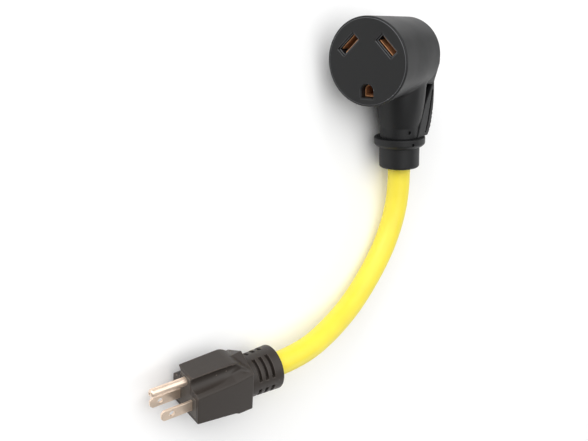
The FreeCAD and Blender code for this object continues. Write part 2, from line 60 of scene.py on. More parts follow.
# Head
FACE_RADIUS = 26.0
BACK_RADIUS = 21.65
HEAD_DEPTH = 55.0
DOME_DEPTH = 5.0
DOME_WIDTH = 12.5
RIM_ROUNDING = 0.9
NECK_Y = 42.0
NECK_TOP = -14.0
NECK_WAIST = -44.0
NECK_END = -50.5
NECK_RADIUS = 12.2
NECK_FLARE = 7.3
NECK_EASE = 3.7
NECK_FILLET = 1.3
COLLAR_RADIUS = 15.9
COLLAR_LOW = -56.3
COLLAR_CHAMFER = 1.8
SLEEVE_RADIUS = 12.5
SLEEVE_END = -69.7
CORD_RADIUS = 7.0
PIN_MARK_RADIUS = 0.95
PIN_MARK_DEPTH = 1.8
NECK_MARK_ANGLE = 33.0
NECK_MARK_Z = -46.5
COLLAR_MARK_ANGLE = 31.0

# Handle: its back is part of a circle at each height, and its front edge runs along EDGE_Y
HANDLE_Z = (-50.5, -45.0, -38.0, -30.0, -22.0, -13.0, -5.0, 2.0)
HANDLE_CENTRE = np.polyfit(HANDLE_Z, (42.5, 45.0, 46.5, 47.3, 47.6, 47.0, 46.0, 45.0), 6)
HANDLE_RADIUS = np.polyfit(HANDLE_Z, (18.0, 19.2, 19.8, 20.0, 20.1, 20.4, 22.0, 21.5), 6)
HANDLE_WALL = 3.0
HANDLE_HALF_WIDTH = 13.0
HANDLE_ROOT_HALF_WIDTH = 19.1
HANDLE_ROOT_LOW = -6.0
HANDLE_TOP_ROUNDING = 6.0
HANDLE_GAP_TOP = -18.0
EDGE_Z = (-50.5, -41.5, -31.0, -19.5, -18.0)
EDGE_Y = (41.5, 45.5, 50.9, 60.0, 52.0)
EDGE_SCALE = 0.85
SIDE_GROOVE_HALF_WIDTH = 1.0
SIDE_GROOVE_DEPTH = 1.4
SIDE_GROOVE_Z = (-48.5, -23.0)
RIB_DEPTH = 0.35
RIB_PITCH = 2.6
RIB_Z = (-48.0, -35.0)
RIB_START_Y = 55.0

# Socket face
INSERT_RADIUS = 25.0
INSERT_DEPTH = 8.0
SLOT_X = 12.4
SLOT_Z = 9.4
SLOT_HALF_LENGTH = 6.4
SLOT_HALF_WIDTH = 2.2
SLOT_ANGLE = 45.0
SLOT_BEVEL = 1.0
RECESS_MARGIN = 0.75
RECESS_DEPTH = 1.1
GROUND_Z = -17.0
GROUND_RADIUS = 3.9
GROUND_BEVEL = 0.8

# Spaces inside the head
CARRIER_RADIUS = 22.0
CARRIER_END = 26.0
MOULD_RADIUS = 19.55
MOULD_END = 48.05
NECK_CORE_RADIUS = 8.55
NECK_CORE_END = -46.0

# Contacts and crimp barrels
CONTACT_START = 2.5
GROUND_CONTACT_START = 4.5
CONTACT_BASE = 20.0
CONTACT_SHEET = 0.8
LEAF_MIDDLE = 1.7
LEAF_BOW = 0.45
LEAF_BOW_LENGTH = 13.0
LEAF_HALF_SHEET = 0.3
LEAF_HALF_LENGTH = 5.9
BASE_HALF_WIDTH = 2.0
SLEEVE_TAPER = 0.5
SLEEVE_TAPER_LENGTH = 6.0
SLEEVE_HALF_SHEET = 0.35
BARREL_RADIUS = 2.2
BARREL_END = 28.8
BARREL_FLOOR = 1.0
STRAND_RADIUS = 1.3

# Plug
BODY_HALF_WIDTH = 13.5
BODY_END = 35.0
BODY_Y = (0.0, 24.0, 26.5, 35.0)
BODY_LOW = (-8.3, -11.3, -12.4, -12.2)
BODY_HIGH = (9.0, 10.0, 10.5, 11.8)
BODY_CORNER = 0.9
SHELF_RISE = 2.4
SHELF_SCALE = 0.89
GRIP_FRONT_TOP = 18.0
GRIP_TOP = 18.8
GRIP_HALF_WIDTH = 8.2
GRIP_LENGTH = 29.5
GRIP_FLARE = 4.4
GRIP_KNEE = 27.0
GRIP_FALL = 0.85
GRIP_FALL_SCALE = 0.76
GROOVE_RADIUS = 4.2
GROOVE_X = 9.7
GROOVE_SPREAD = 1.2
GROOVE_END = 33.0
GROOVE_BLUNTNESS = 2.5
GROOVE_DROP = 0.92
BRIDGE_HALF_WIDTH = 10.5
BRIDGE_HALF_HEIGHT = 6.0
BRIDGE_STEM_HALF_WIDTH = 4.5
BRIDGE_STEM_TOP = 15.5
BRIDGE_DEPTH = 9.0
CORE_END = 30.0
JACKET_BORE = 7.65

# Strain relief
RELIEF_FRONT_RADIUS = 12.0
RELIEF_END_RADIUS = 12.9
RELIEF_END = 56.3
RELIEF_SLOT_STARTS = (40.0, 44.2, 48.4)
RELIEF_SLOT_WIDTH = 2.0
RELIEF_SLOT_FLOOR = 9.8
RELIEF_BRIDGE_HALF_WIDTH = 2.5

# Prongs
BLADE_X = 6.35
BLADE_HALF_THICKNESS = 0.76
BLADE_HALF_WIDTH = 3.175
BLADE_LENGTH = 18.2
BLADE_CLIP = 1.5
DETENT_Y = -11.9
DETENT_RADIUS = 1.6
PIN_Z = 11.9
PIN_RADIUS = 2.4
PIN_LENGTH = 21.4
PIN_TIP_ROUNDING = 1.7
PIN_ROOT_RADIUS = 2.0
SEAM_HALF_WIDTH = 0.22
SEAM_DEPTH = 0.3
TIP_HOLE_RADIUS = 0.75
PRONG_ROOT = 9.0
PRONG_BARREL = (8.5, 16.0)


def turned(about_x, about_y):
    return (Matrix.Rotation(math.radians(about_x), 4, "X")
            @ Matrix.Rotation(math.radians(about_y - 90.0), 4, "Y"))


HEAD = turned(-FACE_LIFT, NECK_DROOP)
PLUG = Matrix.Translation(Vector(PLUG_ORIGIN) * MM) @ turned(PLUG_NOSE_DOWN, PLUG_ROLL)


def at(place, x, y, z):
    """A point given in millimetres in the head's or the plug's frame, in the row frame."""
    return place @ (Vector((x, y, z)) * MM)


# ---------------------------------------------------------------------- camera

# CAMERA_BACK is the way from the object back to the camera
CAMERA_AT = (-0.02454, -0.35935, 0.39691)
CAMERA_BACK = (-0.2028, -0.5808, 0.7884)
PICTURE_UP = (-0.9697, 0.2313, -0.079)
LENS = 56.4


def make_camera():
    back = Vector(CAMERA_BACK).normalized()
    right = Vector(PICTURE_UP).cross(back).normalized()
    up = back.cross(right)
    data = bpy.data.cameras.new("camera")
    data.lens = LENS
    camera = bpy.data.objects.new("camera", data)
    camera.matrix_world = Matrix.Translation(CAMERA_AT) @ Matrix((right, up, back)).transposed().to_4x4()
    bpy.context.scene.collection.objects.link(camera)
    bpy.context.scene.camera = camera


# ------------------------------------------------------------------- materials

class Nodes:
    """A short way to write a material's node tree."""

    def __init__(self, name, colour, roughness):
        self.material = bpy.data.materials.new(name)
        self.material.use_nodes = True
        self.tree = self.material.node_tree
        self.shader = self.tree.nodes["Principled BSDF"]
        self.shader.inputs["Base Color"].default_value = (*colour, 1)
        self.shader.inputs["Roughness"].default_value = roughness
        self.place = self.add("ShaderNodeTexCoord").outputs["Object"]

    def add(self, kind, **sockets):
        node = self.tree.nodes.new(kind)
        for name, value in sockets.items():
            node.inputs[name.replace("_", " ")].default_value = value
        return node

    def join(self, source, target):
        self.tree.links.new(source, target)

    def noise(self, scale, detail=2.0, stretch=(1, 1, 1)):
        stretched = self.add("ShaderNodeMapping", Scale=stretch)
        self.join(self.place, stretched.inputs["Vector"])
        noise = self.add("ShaderNodeTexNoise", Scale=scale, Detail=detail)
        self.join(stretched.outputs["Vector"], noise.inputs["Vector"])
        return noise.outputs["Fac"]

    def between(self, factor, low, high):
        """A number that runs from low to high with the factor."""
        spread = self.add("ShaderNodeMapRange", From_Min=0.3, From_Max=0.7, To_Min=low, To_Max=high)
        self.join(factor, spread.inputs["Value"])
        return spread.outputs["Result"]

    def wear_and_highlight_edges(self, colour, share):
        """Lightens the base colour along sharp outer edges: partly edge wear, partly a painted
        highlight.
        """
        # Sharp outer edges get a lighter colour: partly wear, partly a painted highlight where the edges
        # would catch light.
        pointed = self.add("ShaderNodeMapRange", From_Min=0.52, From_Max=0.6, To_Min=0.0, To_Max=share)
        self.join(self.add("ShaderNodeNewGeometry").outputs["Pointiness"], pointed.inputs["Value"])
        wear_and_highlight_mix = self.add("ShaderNodeMixRGB", Color2=(*colour, 1))
        self.join(pointed.outputs["Result"], wear_and_highlight_mix.inputs["Fac"])
        base = self.shader.inputs["Base Color"]
        self.join(base.links[0].from_socket, wear_and_highlight_mix.inputs["Color1"])
        self.join(wear_and_highlight_mix.outputs["Color"], base)

    def vary_colour(self, factor, dark, light):
        ramp = self.add("ShaderNodeValToRGB")
        ramp.color_ramp.elements[0].position = 0.3
        ramp.color_ramp.elements[0].color = (*dark, 1)
        ramp.color_ramp.elements[1].position = 0.7
        ramp.color_ramp.elements[1].color = (*light, 1)
        self.join(factor, ramp.inputs["Fac"])
        self.join(ramp.outputs["Color"], self.shader.inputs["Base Color"])

    def vary_roughness(self, factor, low, high):
        self.join(self.between(factor, low, high), self.shader.inputs["Roughness"])

    def bump(self, *layers):
        """Bump layers, each (height, distance in metres, strength), one on top of the other."""
        normal = None
        for height, distance, strength in layers:
            bump = self.add("ShaderNodeBump", Distance=distance, Strength=strength)
            self.join(height, bump.inputs["Height"])
            if normal is not None:
                self.join(normal, bump.inputs["Normal"])
            normal = bump.outputs["Normal"]
        self.join(normal, self.shader.inputs["Normal"])


def shade(colour, factor):
    return tuple(c * factor for c in colour)


def moulded(name, colour, roughness, edge_wear_and_highlight=8.0, grain=0.00006):
    """Moulded plastic or rubber: a fine spark-eroded grain, flow marks, and sharp edges painted lighter,
    partly as wear, partly as a painted highlight.
    """
    nodes = Nodes(name, colour, roughness)
    flow = nodes.noise(45.0, 3.0)
    fine = nodes.noise(2600.0, 2.0)
    nodes.vary_colour(flow, shade(colour, 0.9), shade(colour, 1.1))
    # Sharp edges painted lighter: wear, and a painted highlight where they would catch light.
    nodes.wear_and_highlight_edges(shade(colour, edge_wear_and_highlight), 0.6)
    nodes.vary_roughness(flow, roughness - 0.05, roughness + 0.05)
    nodes.bump((fine, grain, 0.35), (nodes.noise(320.0, 2.0), 0.00008, 0.12))
    nodes.shader.inputs["Specular IOR Level"].default_value = 0.36
    return nodes.material


def jacket(name, colour):
    """Extruded PVC jacket: smooth, slightly soft looking, with a fine grain and faint dents."""
    nodes = Nodes(name, colour, 0.42)
    cloud = nodes.noise(60.0, 2.0)
    nodes.vary_colour(cloud, shade(colour, 0.96), shade(colour, 1.03))
    nodes.vary_roughness(cloud, 0.38, 0.46)
    nodes.bump((nodes.noise(1400.0, 2.0), 0.00004, 0.25), (nodes.noise(150.0, 1.0), 0.0001, 0.12))
    nodes.shader.inputs["Subsurface Weight"].default_value = 0.12
    nodes.shader.inputs["Subsurface Radius"].default_value = (0.003, 0.002, 0.0005)
    return nodes.material


def stamped(name, colour, roughness, dull=0.75, metallic=1.0):
    """Stamped and plated sheet metal: fine brushing along the part and slight tarnish."""
    nodes = Nodes(name, colour, roughness)
    tarnish = nodes.noise(220.0, 4.0)
    brushing = nodes.noise(900.0, 3.0, (1.0, 0.06, 1.0))
    nodes.vary_colour(tarnish, shade(colour, dull), colour)
    nodes.vary_roughness(brushing, roughness - 0.08, roughness + 0.1)
    nodes.bump((brushing, 0.00003, 0.3))
    nodes.shader.inputs["Metallic"].default_value = metallic
    return nodes.material


def stranded(name, colour):
    """Bare stranded copper: fine twisted wires read as bands along the bundle."""
    nodes = Nodes(name, colour, 0.3)
    bands = nodes.noise(1800.0, 1.0, (1.0, 0.15, 1.0))
    nodes.vary_colour(bands, shade(colour, 0.6), colour)
    nodes.bump((bands, 0.0002, 0.6))
    nodes.shader.inputs["Metallic"].default_value = 1.0
    return nodes.material


def make_materials():
    return {
        # The last number of a moulded finish is how much lighter its sharp edges are painted, for wear
        # and a painted highlight; the socket face's slot and hole edges get the strongest painted
        # highlight.
        "head_pvc": moulded("head_pvc", (0.0085, 0.0088, 0.0094), 0.46, 3.0),
        "insert_nylon": moulded("insert_nylon", (0.0083, 0.0085, 0.0089), 0.5, 65.0),
        "carrier_nylon": moulded("carrier_nylon", (0.03, 0.03, 0.033), 0.55),
        "inner_mould": moulded("inner_mould", (0.1, 0.1, 0.1), 0.6),
        "plug_pvc": moulded("plug_pvc", (0.036, 0.029, 0.0245), 0.46, 5.0),
        "bridge_nylon": moulded("bridge_nylon", (0.075, 0.066, 0.058), 0.5),
        "cord_jacket": jacket("cord_jacket", (0.87, 0.73, 0.055)),
        "insulation_black": jacket("insulation_black", (0.02, 0.02, 0.02)),
        "insulation_white": jacket("insulation_white", (0.85, 0.85, 0.83)),
        "insulation_green": jacket("insulation_green", (0.03, 0.32, 0.08)),
        "strand_copper": stranded("strand_copper", (0.72, 0.35, 0.18)),
        "contact_bronze": stamped("contact_bronze", (0.62, 0.30, 0.14), 0.4, 0.6, 0.6),
        "prong_plated": stamped("prong_plated", (0.96, 0.78, 0.63), 0.36, 0.85, 0.8),
    }


MATERIALS = {}


# ------------------------------------------------------ shapes as distance fields

def both(a, b, rounding=0.0):
    """Inside both shapes, with the edge between them rounded."""
    if rounding == 0.0:
        return np.maximum(a, b)
    outside = np.hypot(np.maximum(a + rounding, 0), np.maximum(b + rounding, 0))
    return np.minimum(np.maximum(a, b), -rounding) + outside


def either(a, b, fillet=0.0):
    """Inside either shape, with a fillet in the corner between them."""
    return -both(-a, -b, fillet)


def without(a, b, rounding=0.0):
    return both(a, -b, rounding)


def slab(value, low, high):
    return np.maximum(low - value, value - high)


def rod_y(x, y, z, radius, start, end, at_x=0.0, at_z=0.0, rounding=0.0):
    """A round bar along Y."""
    return both(np.hypot(x - at_x, z - at_z) - radius, slab(y, start, end), rounding)


def rod_z(x, y, z, radius, low, high, rounding=0.0):
    """A round bar about the neck's axis."""
    return both(np.hypot(x, y - NECK_Y) - radius, slab(z, low, high), rounding)


def skin(name, field, low, high, step, place, slot):
    """A closed mesh over a distance field's zero level: surface nets, then a snap to the surface."""
    axes = [np.arange(a, b + step, step) for a, b in zip(low, high)]
    grid = np.meshgrid(*axes, indexing="ij", sparse=True)
    shape = tuple(len(axis) for axis in axes)
    values = np.broadcast_to(field(*grid), shape)
    inside = values < 0
    corners = [(i, j, k) for i in (0, 1) for j in (0, 1) for k in (0, 1)]
    window = {c: tuple(slice(o, n - 1 + o) for o, n in zip(c, shape)) for c in corners}
    count = sum(inside[window[c]].astype(np.int8) for c in corners)
    cells = np.argwhere((count > 0) & (count < 8))
    total = np.zeros((len(cells), 3))
    crossings = np.zeros((len(cells), 1))
    for a in corners:
        for axis in range(3):
            if a[axis] == 1:
                continue
            b = tuple(o + (n == axis) for n, o in enumerate(a))
            start = values[tuple((cells + a).T)]
            end = values[tuple((cells + b).T)]
            crossed = ((start < 0) != (end < 0)).astype(float)[:, None]
            share = (start / np.where(start == end, 1, start - end))[:, None]
            total += crossed * (np.array(a) + share * (np.array(b) - np.array(a)))
            crossings += crossed
    points = np.array(low) + step * (cells + total / crossings)
    points = snapped(points, field, step)
    return mesh_piece(name, points, net_faces(cells, inside, shape), place, slot)


def snapped(points, field, step):
    """Moves points along the field's slope on to its zero level."""
    reach = step * 0.05
    for _ in range(2):
        x, y, z = points.T
        here = field(x, y, z)
        slope = np.stack([field(x + reach, y, z) - here, field(x, y + reach, z) - here,
                          field(x, y, z + reach) - here], 1) / reach
        size = np.maximum((slope ** 2).sum(1), 0.25)
        move = -(here / size)[:, None] * slope
        points = points + np.clip(move, -0.4 * step, 0.4 * step)
    return points


def net_faces(cells, inside, shape):
    """Four-sided faces, one round each grid edge that the surface crosses."""
    number = np.full(tuple(n - 1 for n in shape), -1, np.int64)
    number[tuple(cells.T)] = np.arange(len(cells))
    faces = []
    for axis in range(3):
        u, v = (axis + 1) % 3, (axis + 2) % 3
        first = inside.take(range(shape[axis] - 1), axis)
        second = inside.take(range(1, shape[axis]), axis)
        edges = np.argwhere(first != second)
        edges = edges[(edges[:, u] > 0) & (edges[:, v] > 0)]
        step_u, step_v = np.eye(3, dtype=int)[u], np.eye(3, dtype=int)[v]
        ring = [edges, edges - step_u, edges - step_u - step_v, edges - step_v]
        quads = np.stack([number[tuple(corner.T)] for corner in ring], 1)
        leaving = first[tuple(edges.T)]
        quads[~leaving] = quads[~leaving][:, ::-1]
        faces.append(quads)
    return np.concatenate(faces)


def mesh_piece(name, points, faces, place, slot):
    """A smooth-shaded object that rides on the root body, from points in millimetres."""
    mesh = bpy.data.meshes.new(name)
    mesh.from_pydata((points * MM).tolist(), [], faces.tolist())
    mesh.transform(place)
    mesh.shade_smooth()
    mesh.materials.append(MATERIALS[slot])
    mesh.validate()
    piece = bpy.data.objects.new(name, mesh)
    bpy.context.scene.collection.objects.link(piece)
    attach(piece, "root")
    return piece


# ------------------------------------------------------------------ socket head

DRUM_TAPER = (FACE_RADIUS - BACK_RADIUS) / HEAD_DEPTH


def drum(x, y, z):
    """The head's cone-shaped barrel, closed behind by a shallow dome."""
    shoulder = HEAD_DEPTH - DOME_DEPTH
    crown = FACE_RADIUS - DRUM_TAPER * shoulder - DOME_WIDTH
    radius = np.hypot(x, z)
    wall = radius - FACE_RADIUS + DRUM_TAPER * y
    outward = np.maximum(radius - crown, 0) / DOME_WIDTH
    back = np.maximum(y - shoulder, 0) / DOME_DEPTH
    dome = (np.hypot(outward, back) - 1) * DOME_DEPTH
    return both(np.where(y > shoulder, dome, wall), -y, RIM_ROUNDING)


def neck_radius(z):
    """The neck is straight up to its waist and then widens ever more slowly to its top."""
    share = np.clip((z - NECK_WAIST) / (NECK_TOP - NECK_WAIST), 0, 1)
    return NECK_RADIUS + share * (NECK_FLARE - NECK_EASE * share)


def neck(x, y, z):
    wall = np.hypot(x, y - NECK_Y) - neck_radius(z)
    return both(wall, slab(z, NECK_END, NECK_TOP))


def head_outside(x, y, z):
    return either(drum(x, y, z), neck(x, y, z), NECK_FILLET)


def pin_mark(x, y, z, radius, angle, level):
    """A mould pin's small round hole in a wall round the neck's axis."""
    turn = math.radians(angle)
    along = x * math.cos(turn) - (y - NECK_Y) * math.sin(turn)
    across = x * math.sin(turn) + (y - NECK_Y) * math.cos(turn)
    return both(np.hypot(across, z - level) - PIN_MARK_RADIUS, (radius - PIN_MARK_DEPTH) - along)


def insert_disc(x, y, z, start, end, gap=0.0, rounding=0.0):
    """The socket face's disc, which tapers with the drum, smaller by a gap all round."""
    wall = np.hypot(x, z) - INSERT_RADIUS + gap + DRUM_TAPER * y
    return both(wall, slab(y, start, end), rounding)


def head_shell(x, y, z):
    """The head and its neck, with the spaces for everything inside them."""
    shell = head_outside(x, y, z)
    shell = without(shell, insert_disc(x, y, z, -2.0, INSERT_DEPTH), 0.2)
    shell = without(shell, rod_y(x, y, z, CARRIER_RADIUS, 0, CARRIER_END))
    shell = without(shell, rod_y(x, y, z, MOULD_RADIUS, 0, MOULD_END))
    shell = without(shell, rod_z(x, y, z, NECK_CORE_RADIUS, NECK_CORE_END, 0))
    shell = without(shell, rod_z(x, y, z, CORD_RADIUS, NECK_END - 2, 0))
    return without(shell, pin_mark(x, y, z, NECK_RADIUS, NECK_MARK_ANGLE, NECK_MARK_Z), 0.15)


def collar_and_sleeve(x, y, z):
    """The flange under the neck with the sleeve that guards the cord."""
    radius = np.hypot(x, y - NECK_Y)
    chamfer = (radius - COLLAR_RADIUS + COLLAR_CHAMFER - (z - COLLAR_LOW)) * math.sqrt(0.5)
    collar = both(radius - COLLAR_RADIUS, slab(z, COLLAR_LOW, NECK_END), 0.5)
    collar = both(collar, chamfer, 0.4)
    sleeve = rod_z(x, y, z, SLEEVE_RADIUS, SLEEVE_END, NECK_END - 1, 1.5)
    whole = either(collar, sleeve, 0.5)
    whole = without(whole, rod_z(x, y, z, CORD_RADIUS, SLEEVE_END - 2, NECK_END + 2), 0.5)
    middle = (COLLAR_LOW + NECK_END) / 2
    return without(whole, pin_mark(x, y, z, COLLAR_RADIUS, COLLAR_MARK_ANGLE, middle), 0.15)


def side_groove(x, y, z, edge_y, outer_y):
    """A groove that follows the handle's flat side, nearer its outer edge."""
    middle = 0.35 * edge_y + 0.65 * outer_y
    line = both(np.abs(y - middle) - SIDE_GROOVE_HALF_WIDTH,
                HANDLE_HALF_WIDTH - SIDE_GROOVE_DEPTH - np.abs(x))
    return both(line, slab(z, *SIDE_GROOVE_Z))


def handle_ribs(y, z):
    """How deep the faint ribs across the handle's lower back are cut."""
    ribbed = (z > RIB_Z[0]) & (z < RIB_Z[1]) & (y > RIB_START_Y)
    return RIB_DEPTH * np.maximum(np.cos(z * 2 * math.pi / RIB_PITCH), 0) * ribbed


def pull_handle(x, y, z):
    """A strap behind the neck with flat sides, hollow towards the neck."""
    centre = np.polyval(HANDLE_CENTRE, z)
    radius = np.polyval(HANDLE_RADIUS, z)
    outer = np.hypot(x, y - centre) - radius
    side = np.abs(x) - HANDLE_HALF_WIDTH
    root = np.abs(x) - np.interp(z, (HANDLE_GAP_TOP, HANDLE_ROOT_LOW),
                                 (HANDLE_HALF_WIDTH, HANDLE_ROOT_HALF_WIDTH))
    strap = both(outer + handle_ribs(y, z), z - HANDLE_Z[-1], HANDLE_TOP_ROUNDING)
    strap = both(strap, root, 0.8)
    hollow = both(both(outer, side) + HANDLE_WALL, z - HANDLE_GAP_TOP, 1.5)
    edge_y = np.interp(z, EDGE_Z, EDGE_Y)
    edge = np.where(z > EDGE_Z[-1], NECK_Y - y, EDGE_SCALE * (edge_y - y))
    shell = both(without(strap, hollow), edge, 0.5)
    outer_y = centre + np.sqrt(radius ** 2 - HANDLE_HALF_WIDTH ** 2)
    shell = without(shell, side_groove(x, y, z, edge_y, outer_y), 0.12)
    shell = both(shell, HANDLE_Z[0] - z)
    return without(shell, head_outside(x, y, z) - 0.02)


# ------------------------------------------------------------------ socket face

def slot_axes(x, z, side):
    """Coordinates along and across one blade slot."""
    turn = math.radians(SLOT_ANGLE * side)
    dx, dz = x - side * SLOT_X, z - SLOT_Z
    along = dx * math.cos(turn) - dz * math.sin(turn)
    across = dx * math.sin(turn) + dz * math.cos(turn)
    return along, across


def slot_hole(x, y, z, side):
    """A blade slot in the middle of a shallow recess with a bevelled edge."""
    along, across = slot_axes(x, z, side)
    walls = both(np.abs(along) - SLOT_HALF_LENGTH, np.abs(across) - SLOT_HALF_WIDTH)
    bevel = (walls - SLOT_BEVEL + y) * math.sqrt(0.5)
    ledge = both(walls - RECESS_MARGIN, y - RECESS_DEPTH)
    mouth = either(both(bevel, y - RECESS_DEPTH), ledge)
    return either(mouth, walls + 0.0 * y)


def arch(x, z, radius):
    """The ground hole's outline: a half-round top and a flat bottom."""
    dz = z - GROUND_Z
    column = both(np.abs(x) - radius, slab(dz, -radius, 0.0))
    return either(np.hypot(x, dz) - radius, column)


def ground_hole(x, y, z):
    outline = arch(x, z, GROUND_RADIUS)
    bevel = (outline - GROUND_BEVEL + y) * math.sqrt(0.5)
    return either(outline + 0.0 * y, bevel)


def socket_face(x, y, z):
    disc = insert_disc(x, y, z, 0.0, INSERT_DEPTH - 0.02, 0.05, 0.25)
    for side in (-1, 1):
        disc = without(disc, slot_hole(x, y, z, side))
    return without(disc, ground_hole(x, y, z))


# ------------------------------------------------------------------- contacts

def barrel(x, y, z, start, end, at_x, at_z):
    """A crimp barrel along Y, open at its far end."""
    outer = rod_y(x, y, z, BARREL_RADIUS, start, end, at_x, at_z, 0.3)
    bore = rod_y(x, y, z, STRAND_RADIUS, start + BARREL_FLOOR, end + 1.0, at_x, at_z)
    return without(outer, bore)


def blade_contact(side):
    """Two spring leaves that bow towards the blade, on a base with a crimp barrel."""
    def field(x, y, z):
        along, across = slot_axes(x, z, side)
        share = np.clip((y - CONTACT_START) / LEAF_BOW_LENGTH, 0, 1)
        middle = LEAF_MIDDLE - LEAF_BOW * np.sin(share * math.pi)
        length = np.abs(along) - LEAF_HALF_LENGTH
        leaf = both(np.abs(np.abs(across) - middle) - LEAF_HALF_SHEET,
                    slab(y, CONTACT_START, CONTACT_BASE + CONTACT_SHEET))
        leaf = both(leaf, length, 0.3)
        base = both(np.abs(across) - BASE_HALF_WIDTH, length, 0.3)
        base = both(base, slab(y, CONTACT_BASE, CONTACT_BASE + CONTACT_SHEET))
        crimp = barrel(x, y, z, CONTACT_BASE + 0.5, BARREL_END, side * SLOT_X, SLOT_Z)
        return either(either(leaf, base, 0.3), crimp, 0.3)
    return field


def ground_contact(x, y, z):
    """An arched spring sleeve that tapers in behind its mouth, with a crimp barrel."""
    taper = SLEEVE_TAPER * np.clip((y - GROUND_CONTACT_START) / SLEEVE_TAPER_LENGTH, 0, 1)
    outline = arch(x, z, GROUND_RADIUS - 0.25) + taper
    sleeve = both(np.abs(outline + SLEEVE_HALF_SHEET) - SLEEVE_HALF_SHEET,
                  slab(y, GROUND_CONTACT_START, CONTACT_BASE + CONTACT_SHEET))
    base = both(outline, slab(y, CONTACT_BASE, CONTACT_BASE + CONTACT_SHEET))
    crimp = barrel(x, y, z, CONTACT_BASE + 0.5, BARREL_END, 0.0, GROUND_Z)
    return either(either(sleeve, base, 0.3), crimp, 0.3)


# ------------------------------------------------------------------------- plug

def lower_block(x, y, z):
    """The plug's body below the grip, with a shelf that rises towards the grip."""
    side = np.abs(x) - BODY_HALF_WIDTH
    low = np.interp(y, BODY_Y, BODY_LOW) - z
    shelf_edge = BODY_HALF_WIDTH - BODY_CORNER
    rise = SHELF_RISE * (shelf_edge - np.abs(x)) / (shelf_edge - GRIP_HALF_WIDTH)
    high = SHELF_SCALE * (z - np.interp(y, BODY_Y, BODY_HIGH) - rise)
    block = both(both(side, low, 0.75), high, 0.75)
    return both(block, slab(y, 0.0, BODY_END), 0.45)


def grip_rise(y):
    """The height of the grip's top in front of its knee."""
    return GRIP_FRONT_TOP + (GRIP_TOP - GRIP_FRONT_TOP) * y / GRIP_KNEE


def grip_fall(y):
    """The height of the grip's slope behind its knee."""
    return GRIP_TOP - GRIP_FALL * (y - GRIP_KNEE)


def grip(x, y, z):
    """The raised block round the ground pin, which spreads out towards the plug's back."""
    flare = np.maximum(y - GRIP_LENGTH, 0) * GRIP_FLARE / (BODY_END - GRIP_LENGTH)
    side = np.abs(x) - GRIP_HALF_WIDTH - flare
    back = GRIP_FALL_SCALE * (z - grip_fall(y))
    block = both(both(side, z - grip_rise(y), 1.0), back, 2.5)
    return both(both(block, slab(y, 0.0, BODY_END), 0.45), -z)


def finger_groove(x, y, z):
    """A hollow under each top edge of the grip that runs out to a point at the plug's back."""
    share = np.clip(y / GROOVE_END, 0, 1)
    radius = GROOVE_RADIUS * np.sqrt(np.maximum(1 - share ** GROOVE_BLUNTNESS, 0)) + 0.02
    centre_x = GROOVE_X + GROOVE_SPREAD * share ** 2
    centre_z = np.minimum(grip_rise(y), grip_fall(y)) - GROOVE_DROP * radius - 0.1
    tube = np.hypot(np.abs(x) - centre_x, z - centre_z) - radius
    return both(tube, y - GROOVE_END)


def bridge_block(x, y, z, end, gap=0.0):
    """The T-shaped insert round the roots of the prongs."""
    wide = both(np.abs(x) - BRIDGE_HALF_WIDTH - gap, np.abs(z) - BRIDGE_HALF_HEIGHT - gap)
    tall = both(np.abs(x) - BRIDGE_STEM_HALF_WIDTH - gap, slab(z, 0.0, BRIDGE_STEM_TOP + gap))
    return both(either(wide, tall), slab(y, -1.0, end + gap))


def plug_shell(x, y, z):
    """The plug's moulded body, hollow for the bridge, the filler and the jacket."""
    shell = either(lower_block(x, y, z), grip(x, y, z), 0.8)
    shell = without(shell, finger_groove(x, y, z), 0.5)
    shell = without(shell, bridge_block(x, y, z, CORE_END, 0.03))
    return without(shell, rod_y(x, y, z, JACKET_BORE, 20.0, BODY_END + 1.0))


def plug_face(x, y, z):
    """The bridge's front part, with an opening round each prong."""
    block = both(bridge_block(x, y, z, BRIDGE_DEPTH, -0.02), -y, 0.2)
    for hole_x in (-BLADE_X, BLADE_X):
        blade = both(np.abs(x - hole_x) - BLADE_HALF_THICKNESS - 0.04,
                     np.abs(z) - BLADE_HALF_WIDTH - 0.045)
        block = without(block, blade + 0.0 * y)
    return without(block, np.hypot(x, z - PIN_Z) - PIN_ROOT_RADIUS - 0.05 + 0.0 * y)


def relief_slots(x, y, z):
    """Three rows of slots round the tail, each row in four lengths."""
    radius = np.hypot(x, z)
    rows = [slab(y, start, start + RELIEF_SLOT_WIDTH) for start in RELIEF_SLOT_STARTS]
    band = np.minimum(np.minimum(rows[0], rows[1]), rows[2])
    bridges = np.minimum(np.abs(x), np.abs(z)) - RELIEF_BRIDGE_HALF_WIDTH
    return both(both(band, RELIEF_SLOT_FLOOR - radius, 0.3), -bridges, 0.4)


def plug_tail(x, y, z):
    """The strain relief, which swells slightly towards the cord."""
    share = (y - BODY_END) / (RELIEF_END - BODY_END)
    wall = np.hypot(x, z) - RELIEF_FRONT_RADIUS - share * (RELIEF_END_RADIUS - RELIEF_FRONT_RADIUS)
    tail = both(wall, slab(y, BODY_END, RELIEF_END), 0.7)
    tail = without(tail, relief_slots(x, y, z), 0.25)
    tail = without(tail, rod_y(x, y, z, JACKET_BORE - 0.05, BODY_END - 5.0, BODY_END + 3.0))
    return without(tail, rod_y(x, y, z, CORD_RADIUS, BODY_END - 5.0, RELIEF_END + 3.7), 0.4)


def flat_blade(side):
    """A blade with clipped corners at its tip, a detent hole and a crimp barrel."""
    def field(x, y, z):
        dx = x - side * BLADE_X
        sheet = both(np.abs(dx) - BLADE_HALF_THICKNESS, np.abs(z) - BLADE_HALF_WIDTH, 0.25)
        sheet = both(sheet, slab(y, -BLADE_LENGTH, PRONG_ROOT), 0.35)
        corner = np.abs(z) - BLADE_HALF_WIDTH + BLADE_CLIP - (y + BLADE_LENGTH)
        sheet = both(sheet, corner * math.sqrt(0.5), 0.5)
        sheet = without(sheet, np.hypot(y - DETENT_Y, z) - DETENT_RADIUS + 0.0 * dx, 0.12)
        return either(sheet, barrel(x, y, z, *PRONG_BARREL, side * BLADE_X, 0.0), 0.2)
    return field


